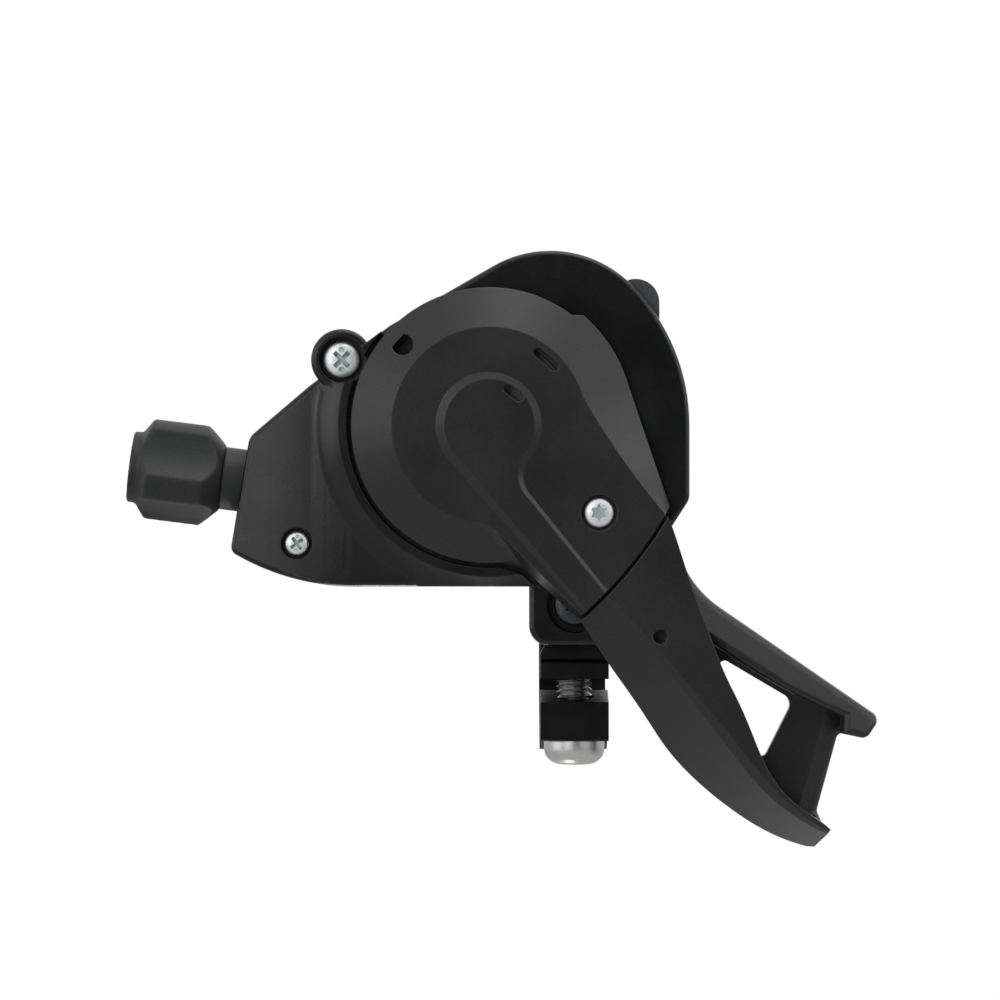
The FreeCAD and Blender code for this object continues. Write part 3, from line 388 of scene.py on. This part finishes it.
def roundCrease(piece):
    # the housing's left face falls away over a soft bend: strips across it are let down a little
    crease, fall = creaseSetup["xMm"], creaseSetup["fall"]
    steps, wide = creaseSetup["steps"], creaseSetup["stepMm"]

    def onFace(spot):
        level = creaseSetup["faceMm"] + max(0, crease - spot.x / mm) * fall
        return abs(spot.y / mm - level) < creaseSetup["closeMm"]

    for step in range(1 - steps, steps):
        pick(piece, "FACE", lambda centre, normal: (
            normal.y < -creaseSetup["square"] and onFace(centre)
        ))
        bpy.ops.mesh.bisect(plane_co=((crease + step * wide) * mm, 0, 0), plane_no=(1, 0, 0))
    for step in range(1 - steps, steps):
        middle = crease + step * wide
        down = (steps - abs(step)) ** 2 / (4 * steps) * wide * fall
        pick(piece, "VERT", lambda spot: abs(spot.x / mm - middle) <= wide / 2 and onFace(spot))
        bpy.ops.transform.translate(value=(0, down * mm, 0))


# each stretch of the leg has the height that its slope starts from
legSetup = {
    "startMm": (18.6, 1.7), "endMm": (37.3, -8.85), "frontMm": (-26.4, -24.9), "slope": 0.38,
    "stretchesMm": ((19, -3.5), (-0.5, -0.8), (-11, 1.5)),
}


def rollLeg(piece):
    # the paddle's upper leg turns its face up: above its lower edge the front slopes back
    start = Vector((legSetup["startMm"][0], 0, legSetup["startMm"][1])) * mm
    end = Vector((legSetup["endMm"][0], 0, legSetup["endMm"][1])) * mm
    along = (end - start).normalized()
    across = Vector((-along.z, 0, along.x))
    front, back = legSetup["frontMm"]
    for vertex in piece.data.vertices:
        flat = Vector((vertex.co.x, 0, vertex.co.z)) - start
        reach = flat.dot(along) / mm
        height = flat.dot(across) / mm
        starts = [lowest for first, lowest in legSetup["stretchesMm"] if reach > first]
        if starts and height > starts[0] and front < vertex.co.y / mm < back:
            vertex.co.y += height * legSetup["slope"] * mm


webSetup = {
    "topMm": (36.85, -11.15), "lowMm": (33.85, -22.1), "frontMm": -22.6, "bandMm": 2.6,
    "roundMm": 1.15, "backMm": 0.5, "pastTopMm": 1.0, "pastLowMm": 1.5, "outsideMm": -0.4,
    "closeMm": 0.03, "depthMm": (-0.05, 1.2), "square": 0.99,
}


def slopeWeb(piece):
    # the web's right border slopes back in a band before its rounded edge
    top = Vector((webSetup["topMm"][0], 0, webSetup["topMm"][1])) * mm
    low = Vector((webSetup["lowMm"][0], 0, webSetup["lowMm"][1])) * mm
    inward = (low - top).normalized().cross(Vector((0, 1, 0)))
    if inward.x > 0:
        inward = -inward

    def depth(spot):
        return spot.y / mm - webSetup["frontMm"]

    def onBorder(spot):
        fromEdge = (Vector((spot.x, 0, spot.z)) - top).dot(inward) / mm
        onWeb = low.z - webSetup["pastLowMm"] * mm < spot.z < top.z + webSetup["pastTopMm"] * mm
        nearFront = webSetup["depthMm"][0] < depth(spot) < webSetup["depthMm"][1]
        return onWeb and nearFront and webSetup["outsideMm"] < fromEdge < webSetup["roundMm"]

    pick(piece, "FACE", lambda centre, normal: (
        normal.y < -webSetup["square"] and abs(depth(centre)) < webSetup["closeMm"]
    ))
    bpy.ops.mesh.bisect(plane_co=top + inward * webSetup["bandMm"] * mm, plane_no=inward)
    pick(piece, "VERT", onBorder)
    bpy.ops.transform.translate(value=(0, webSetup["backMm"] * mm, 0))
    bpy.ops.object.mode_set(mode="OBJECT")


splitSetup = {
    "way": (-0.74, 0, 0.67), "middleMm": (7.2, 0, 12.5), "reachMm": 11.5, "bandMm": 3,
    "facing": 0.85, "depthMm": -26.0, "stepMm": 0.51,
}


def backSplit(piece):
    # behind its front the paddle's end steps up to the cap: no light shows through the parting line
    way = Vector(splitSetup["way"])
    middle = Vector(splitSetup["middleMm"]) * mm
    depth = splitSetup["depthMm"] * mm

    def onEnd(centre, normal):
        flat = Vector((centre.x, 0, centre.z)) - middle
        near = flat.length < splitSetup["reachMm"] * mm
        return near and normal.dot(way) > splitSetup["facing"] and (
            abs(flat.dot(way)) < splitSetup["bandMm"] * mm
        )

    pick(piece, "FACE", onEnd)
    bpy.ops.mesh.bisect(plane_co=(0, depth, 0), plane_no=(0, 1, 0))
    pick(piece, "FACE", lambda centre, normal: onEnd(centre, normal) and centre.y > depth)
    drawOut(way * splitSetup["stepMm"] * mm)
    bpy.ops.object.mode_set(mode="OBJECT")


knobSetup = {"voxelMm": 0.22, "factor": 0.5, "rounds": 9}


def softenKnob(piece):
    # every hard edge of the knob is well rounded, as moulded grips are
    even = piece.modifiers.new("even", "REMESH")
    even.mode = "VOXEL"
    even.voxel_size = knobSetup["voxelMm"] * mm
    applyLast(piece)
    soft = piece.modifiers.new("soft", "SMOOTH")
    soft.factor = knobSetup["factor"]
    soft.iterations = knobSetup["rounds"]
    applyLast(piece)


shaping = {
    "base_housing": [roundCrease], "lever_paddle": [rollLeg, slopeWeb, backSplit],
    "barrel_adjuster": [softenKnob],
}
for node, (slotName, smoothAngle) in dressed.items():
    piece = bpy.data.objects.new(node + "_finish", nodes[node].data.copy())
    bpy.context.scene.collection.objects.link(piece)
    selectOnly(piece)
    bpy.ops.mesh.customdata_custom_splitnormals_clear()
    bpy.ops.object.mode_set(mode="EDIT")
    bpy.ops.mesh.select_all(action="SELECT")
    bpy.ops.mesh.remove_doubles(threshold=weldSetup["closeMm"] * mm)
    bpy.ops.mesh.dissolve_limited(angle_limit=math.radians(weldSetup["flatAngle"]))
    bpy.ops.object.mode_set(mode="OBJECT")
    for shape in shaping.get(node, []):
        shape(piece)
    settle(piece, node + "_finish", node, slotName, smoothAngle)
    weigh = piece.modifiers.new("weigh", "WEIGHTED_NORMAL")
    weigh.keep_sharp = True
    applyLast(piece)
print("moulded pieces dressed:", len(dressed))


# rings drawn out of the picked end face, each a little narrower, make a rounded crown
crownSteps = 9


def drawCrown(way, centre, crown, flatShare):
    width, height = 1.0, 0.0
    for step in range(1, crownSteps + 1):
        angle = math.radians(90) * step / crownSteps
        nextWidth = flatShare + (1 - flatShare) * math.cos(angle)
        nextHeight = math.sin(angle)
        drawOut(way * crown * (nextHeight - height))
        narrow = [1 if abs(part) > 0.5 else nextWidth / width for part in way]
        bpy.ops.transform.resize(value=narrow, center_override=centre)
        width, height = nextWidth, nextHeight


# screws along the depth, heads towards the thumb
headSetup = {
    "sides": 64, "tipMm": 0.3, "tipShare": 0.75, "weldMm": 0.001, "smooth": 28,
    "recessShadeFromMm": 0.2, "recessShadePastMm": 0.05, "recessShadeShare": 0.74,
}
crossSetup = {"turns": (45, 135), "floorShare": (0.45, 1, 0.6)}
lobeSetup = {"sides": 12, "waist": 0.58, "roundShare": 0.13, "roundSteps": 3}
dimpleSetup = {"sides": 16, "rings": 10}


def cutCross(piece, screw, place):
    for turn in crossSetup["turns"]:
        bpy.ops.object.select_all(action="DESELECT")
        bpy.ops.mesh.primitive_cube_add(size=1, location=(0, 0, 0))
        cutter = bpy.context.object
        cutter.scale = (
            screw["armMm"] * 2 * mm, screw["recessMm"] * 2 * mm, screw["slotMm"] * mm,
        )
        cutter = applyTransforms()
        # each slot narrows to its floor
        pick(cutter, "FACE", lambda centre, normal: normal.y > facing)
        bpy.ops.transform.resize(value=crossSetup["floorShare"])
        bpy.ops.object.mode_set(mode="OBJECT")
        cutter.rotation_euler = (0, math.radians(turn + screw["turn"]), 0)
        cutter.location = place
        cutAway(piece, applyTransforms())


def cutLobes(piece, screw, place):
    start = math.radians(screw["turn"])
    bpy.ops.object.select_all(action="DESELECT")
    bpy.ops.mesh.primitive_cylinder_add(
        vertices=lobeSetup["sides"], radius=screw["armMm"] * mm,
        depth=screw["recessMm"] * 2 * mm, rotation=(math.radians(90), start, 0),
    )
    cutter = applyTransforms()
    # every other upright edge drawn in, then all rounded, leaves six lobes
    share = math.radians(360 / lobeSetup["sides"])
    waist = lobeSetup["waist"]
    pick(cutter, "VERT", lambda spot: (
        round((math.atan2(spot.x, spot.z) - start) / share) % 2 == 1
    ))
    bpy.ops.transform.resize(value=(waist, 1, waist), center_override=(0, 0, 0))
    pick(cutter, "EDGE", lambda a, b: abs(a.y - b.y) > 1e-6)
    bpy.ops.mesh.bevel(
        offset=screw["armMm"] * lobeSetup["roundShare"] * mm, segments=lobeSetup["roundSteps"],
    )
    bpy.ops.object.mode_set(mode="OBJECT")
    cutter.location = place
    cutAway(piece, applyTransforms())


def cutDimples(piece, screw, place):
    for clock in screw["dimples"]:
        angle = math.radians(clock)
        reach = screw["dimpleOutMm"] * mm
        bpy.ops.object.select_all(action="DESELECT")
        bpy.ops.mesh.primitive_uv_sphere_add(
            segments=dimpleSetup["sides"], ring_count=dimpleSetup["rings"],
            radius=screw["dimpleMm"] * mm,
            location=place + Vector((reach * math.sin(angle), 0, reach * math.cos(angle))),
        )
        cutAway(piece, applyTransforms())


def turnedScrew(node, screw):
    low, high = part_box(node)
    middle = (low + high) / 2
    front = low.y
    headBack = front + screw["headMm"] * mm
    crown = screw["crownMm"] * mm
    headRadius = (high.x - low.x) / 2
    bpy.ops.object.select_all(action="DESELECT")
    bpy.ops.mesh.primitive_cylinder_add(
        vertices=headSetup["sides"], radius=headRadius, depth=headBack - front - crown,
        location=(middle.x, (front + crown + headBack) / 2, middle.z),
        rotation=(math.radians(90), 0, 0),
    )
    piece = applyTransforms()
    # shank drawn out of the back of the head
    tip = headSetup["tipMm"] * mm
    tipShare = headSetup["tipShare"]
    pick(piece, "FACE", lambda centre, normal: normal.y > facing)
    bpy.ops.mesh.inset(thickness=headRadius - screw["shankMm"] * mm)
    drawOut((0, high.y - headBack - tip, 0))
    drawOut((0, tip, 0))
    bpy.ops.transform.resize(value=(tipShare, 1, tipShare), center_override=middle)
    pick(piece, "FACE", lambda centre, normal: normal.y < -facing)
    drawCrown(Vector((0, -1, 0)), middle, crown, screw["flatShare"])
    bpy.ops.object.mode_set(mode="OBJECT")
    place = Vector((middle.x, front, middle.z))
    screw["cutRecess"](piece, screw, place)
    cutDimples(piece, screw, place)
    pick(piece, "FACE", lambda centre, normal: True)
    bpy.ops.mesh.remove_doubles(threshold=headSetup["weldMm"] * mm)
    bpy.ops.object.mode_set(mode="OBJECT")
    settle(piece, node + "_turned", node, screw["slot"], headSetup["smooth"])
    # driver recess and dimples are rougher than the crown, and darker as painted shade
    piece.data.materials.append(finishes[screw["recessFinish"]])
    shallow = headSetup["recessShadeFromMm"] * mm
    deepest = (screw["recessMm"] + headSetup["recessShadePastMm"]) * mm
    for face in piece.data.polygons:
        out = math.hypot(face.center.x - middle.x, face.center.z - middle.z)
        inside = out < headSetup["recessShadeShare"] * headRadius
        if inside and shallow < face.center.y - front < deepest:
            face.material_index = 1


turnedScrew("housing_screw_large", {
    "slot": "zinc_steel", "recessFinish": "zinc_recess", "headMm": 1.5, "crownMm": 0.6,
    "flatShare": 0.4, "shankMm": 1.5, "cutRecess": cutCross, "armMm": 2.0, "slotMm": 0.8,
    "recessMm": 1.0, "turn": 0, "dimples": (0, 180), "dimpleOutMm": 1.4, "dimpleMm": 0.42,
})
turnedScrew("housing_screw_small", {
    "slot": "zinc_steel", "recessFinish": "zinc_recess", "headMm": 1.5, "crownMm": 0.5,
    "flatShare": 0.4, "shankMm": 1.1, "cutRecess": cutCross, "armMm": 1.45, "slotMm": 0.6,
    "recessMm": 0.9, "turn": 8, "dimples": (8, 188), "dimpleOutMm": 1.0, "dimpleMm": 0.28,
})
turnedScrew("lever_screw", {
    "slot": "zinc_steel", "recessFinish": "zinc_recess", "headMm": 1.2, "crownMm": 0.5,
    "flatShare": 0.4, "shankMm": 1.25, "cutRecess": cutLobes, "armMm": 1.3, "recessMm": 0.6,
    "turn": 0, "dimples": (),
})
# the bracket screw's dark finish is painted shade
turnedScrew("bracket_screw", {
    "slot": "dark_steel", "recessFinish": "dark_steel", "headMm": 2.2, "crownMm": 0.6,
    "flatShare": 0.5, "shankMm": 2.0, "cutRecess": cutLobes, "armMm": 1.5, "recessMm": 1.3,
    "turn": 0, "dimples": (),
})
print("screws turned")

# clamp bolt: crowned head below, hex socket, thread showing in the slot
boltSetup = {
    "headRadiusMm": 4.25, "headMm": 3.4, "crownShare": 0.65, "flatShare": 0.41, "sides": 72,
    "socketMm": 3.0, "socketDeepMm": 2.0, "socketSides": 6, "threadMm": 2.5, "pitchMm": 0.8,
    "threadDeepMm": 0.45, "ridgeShare": 0.46, "sweepSteps": 32, "smooth": 35, "threadShadeFromMm": 0.05,
}
low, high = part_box("clamp_bolt")
boltX = (low.x + high.x) / 2
boltY = (low.y + high.y) / 2
headHeight = boltSetup["headMm"] * mm
headTop = low.z + headHeight
crown = headHeight * boltSetup["crownShare"]
headRadius = boltSetup["headRadiusMm"] * mm
bpy.ops.object.select_all(action="DESELECT")
bpy.ops.mesh.primitive_cylinder_add(
    vertices=boltSetup["sides"], radius=headRadius, depth=headHeight - crown,
    location=(boltX, boltY, headTop - (headHeight - crown) / 2),
)
bolt = applyTransforms()
pick(bolt, "FACE", lambda centre, normal: normal.z < -facing)
drawCrown(Vector((0, 0, -1)), (boltX, boltY, 0), crown, boltSetup["flatShare"])
# core of the thread drawn up out of the head
core = (boltSetup["threadMm"] - boltSetup["threadDeepMm"]) * mm
pick(bolt, "FACE", lambda centre, normal: normal.z > facing)
bpy.ops.mesh.inset(thickness=headRadius - core)
drawOut((0, 0, high.z - headTop))
bpy.ops.object.mode_set(mode="OBJECT")
bpy.ops.object.select_all(action="DESELECT")
acrossCorners = boltSetup["socketMm"] / math.cos(math.radians(30)) * mm
bpy.ops.mesh.primitive_cylinder_add(
    vertices=boltSetup["socketSides"], radius=acrossCorners / 2,
    depth=boltSetup["socketDeepMm"] * 2 * mm, location=(boltX, boltY, low.z),
)
cutAway(bolt, applyTransforms())
# one helical ridge, swept from a small diamond
pitch = boltSetup["pitchMm"] * mm
ridgeDeep = boltSetup["threadDeepMm"] * mm
bpy.ops.object.select_all(action="DESELECT")
bpy.ops.mesh.primitive_circle_add(vertices=4, radius=ridgeDeep, rotation=(math.radians(90), 0, 0))
thread = applyTransforms()
bpy.ops.object.mode_set(mode="EDIT")
bpy.ops.mesh.select_all(action="SELECT")
bpy.ops.transform.resize(
    value=(1, 1, pitch * boltSetup["ridgeShare"] / ridgeDeep), center_override=(0, 0, 0),
)
bpy.ops.transform.translate(value=(core, 0, 0))
bpy.ops.object.mode_set(mode="OBJECT")
sweep = thread.modifiers.new("sweep", "SCREW")
sweep.axis = "Z"
sweep.angle = math.radians(360)
sweep.screw_offset = pitch
sweep.iterations = int((high.z - headTop) / pitch) - 1
sweep.steps = boltSetup["sweepSteps"]
sweep.render_steps = boltSetup["sweepSteps"]
sweep.use_normal_calculate = True
applyLast(thread)
thread.location = (boltX, boltY, headTop + pitch)
applyTransforms()
bpy.ops.object.mode_set(mode="EDIT")
bpy.ops.mesh.select_all(action="SELECT")
bpy.ops.mesh.fill_holes(sides=4)
bpy.ops.mesh.normals_make_consistent(inside=False)
bpy.ops.object.mode_set(mode="OBJECT")
selectOnly(bolt)
thread.select_set(True)
bpy.ops.object.join()
settle(bolt, "clamp_bolt_turned", "clamp_bolt", "bolt_steel", boltSetup["smooth"])
# the shank is much darker than the head: painted shade for the thread in the clamp's slot
bolt.data.materials.append(finishes["bolt_thread"])
for face in bolt.data.polygons:
    face.material_index = int(face.center.z > headTop + boltSetup["threadShadeFromMm"] * mm)
print("clamp bolt turned")

# inner works keep their solids and take their finishes
for subpart in frame["record"]["subparts"]:
    solid = nodes[subpart["node"]]
    solid.data.materials.clear()
    solid.data.materials.append(finishes[subpart["material_slot"]])
print("inner works finished")


# stage and light
def seenAs(tree, rays, shiny):
    # what the camera sees straight or through clear stuff, or else its mirror image
    direct = addNode(
        tree, "Math", {"operation": "MAXIMUM"},
        {0: rays.outputs["Is Camera Ray"], 1: rays.outputs["Is Transmission Ray"]},
    )
    return addNode(tree, "Math", {"operation": "MAXIMUM"}, {0: direct.outputs["Value"], 1: shiny})


stageSetup = {
    "floorMm": -150, "floorSize": 6.0, "floorColour": "#f2f2f1", "rough": 0.9, "glossShare": 0.2,
    "fadeFrom": 0.08, "fadeTo": 0.34, "nearShare": 0.72,
}
bpy.ops.object.select_all(action="DESELECT")
bpy.ops.mesh.primitive_plane_add(
    size=stageSetup["floorSize"], location=(0, 0, stageSetup["floorMm"] * mm),
)
floor = bpy.context.object
floor.name = "studioFloor"
paper, tree, shader = startFinish("paleStudioPaper")
shader.inputs["Base Color"].default_value = hexColour(stageSetup["floorColour"])
shader.inputs["Roughness"].default_value = stageSetup["rough"]
shader.inputs["Specular IOR Level"].default_value = 0.0
rays = addNode(tree, "LightPath", {}, {})
# near the part the paper keeps its soft shadow, farther off it runs into the white behind
where = addNode(tree, "TexCoord", {}, {}).outputs["Object"]
away = addNode(tree, "VectorMath", {"operation": "LENGTH"}, {0: where})
fade = addNode(
    tree, "MapRange",
    {"From Min": stageSetup["fadeFrom"], "From Max": stageSetup["fadeTo"],
     "To Min": stageSetup["nearShare"], "To Max": 1.0},
    {"Value": away.outputs["Value"]},
)
shiny = addNode(
    tree, "Math", {"operation": "MULTIPLY", 1: stageSetup["glossShare"]},
    {0: rays.outputs["Is Glossy Ray"]},
)
seen = seenAs(tree, rays, shiny.outputs["Value"])
share = addNode(
    tree, "Math", {"operation": "MULTIPLY"}, {0: seen.outputs["Value"], 1: fade.outputs["Result"]},
)
glow = addNode(tree, "Emission", {"Color": (1, 1, 1, 1), "Strength": 1.0}, {})
mix = addNode(
    tree, "MixShader", {},
    {0: share.outputs["Value"], 1: shader.outputs["BSDF"], 2: glow.outputs["Emission"]},
)
tree.links.new(mix.outputs["Shader"], tree.nodes["Material Output"].inputs["Surface"])
floor.data.materials.append(paper)

# dark card behind the camera keeps faces square to it deep black; the camera never sees it
cardSetup = {
    "place": (0.15, -1.6, 0.0), "size": 1.9, "narrow": 0.58, "colour": "#101010", "rough": 1.0,
}
bpy.ops.object.select_all(action="DESELECT")
bpy.ops.mesh.primitive_plane_add(
    size=cardSetup["size"], location=cardSetup["place"], rotation=(math.radians(90), 0, 0),
)
card = bpy.context.object
card.name = "darkStudioCard"
card.scale.x = cardSetup["narrow"]
card.visible_camera = False
felt, tree, shader = startFinish("blackStudioFelt")
shader.inputs["Base Color"].default_value = hexColour(cardSetup["colour"])
shader.inputs["Roughness"].default_value = cardSetup["rough"]
card.data.materials.append(felt)

# white where it is seen, and a low even light on everything else
worldSetup = {"seen": 1.0, "light": 0.22}
world = bpy.data.worlds.new("studioWorld")
bpy.context.scene.world = world
world.use_nodes = True
tree = world.node_tree
rays = addNode(tree, "LightPath", {}, {})
seen = seenAs(tree, rays, rays.outputs["Is Glossy Ray"])
strength = addNode(
    tree, "MapRange", {"To Min": worldSetup["light"], "To Max": worldSetup["seen"]},
    {"Value": seen.outputs["Value"]},
)
tree.links.new(strength.outputs["Result"], tree.nodes["Background"].inputs["Strength"])
tree.nodes["Background"].inputs["Color"].default_value = (1, 1, 1, 1)

partMiddle = (-0.005, -0.015, 0.025)
lampSetup = {
    "topSoftbox": {
        "place": (0.06, -0.08, 0.36), "aim": partMiddle, "size": 0.3, "spread": 180, "watts": 0.52,
    },
    "rightSoftbox": {
        "place": (0.7, -0.22, 0.3), "aim": partMiddle, "size": 0.5, "spread": 180, "watts": 0.9,
    },
    "leftSoftbox": {
        "place": (-0.42, -1.1, 0.22), "aim": partMiddle, "size": 0.4, "spread": 180, "watts": 1.6,
    },
    "leftSideSoftbox": {
        "place": (-0.7, -0.25, 0.12), "aim": partMiddle, "size": 0.45, "spread": 180, "watts": 0.7,
    },
    "backSoftbox": {
        "place": (0.25, 0.9, 0.5), "aim": partMiddle, "size": 0.6, "spread": 180, "watts": 1.0,
    },
    "lowRimLamp": {
        "place": (-0.03, 0.03, -0.12), "aim": (-0.028, -0.02, 0.01), "size": 0.04, "spread": 25,
        "watts": 0.0025,
    },
}
for name, lamp in lampSetup.items():
    place = Vector(lamp["place"])
    aim = (Vector(lamp["aim"]) - place).to_track_quat("-Z", "Y").to_euler()
    bpy.ops.object.light_add(type="AREA", location=place, rotation=aim)
    light = bpy.context.object
    light.name = name
    light.visible_camera = False
    light.data.shape = "SQUARE"
    light.data.size = lamp["size"]
    light.data.spread = math.radians(lamp["spread"])
    light.data.energy = lamp["watts"]
print("stage lit")
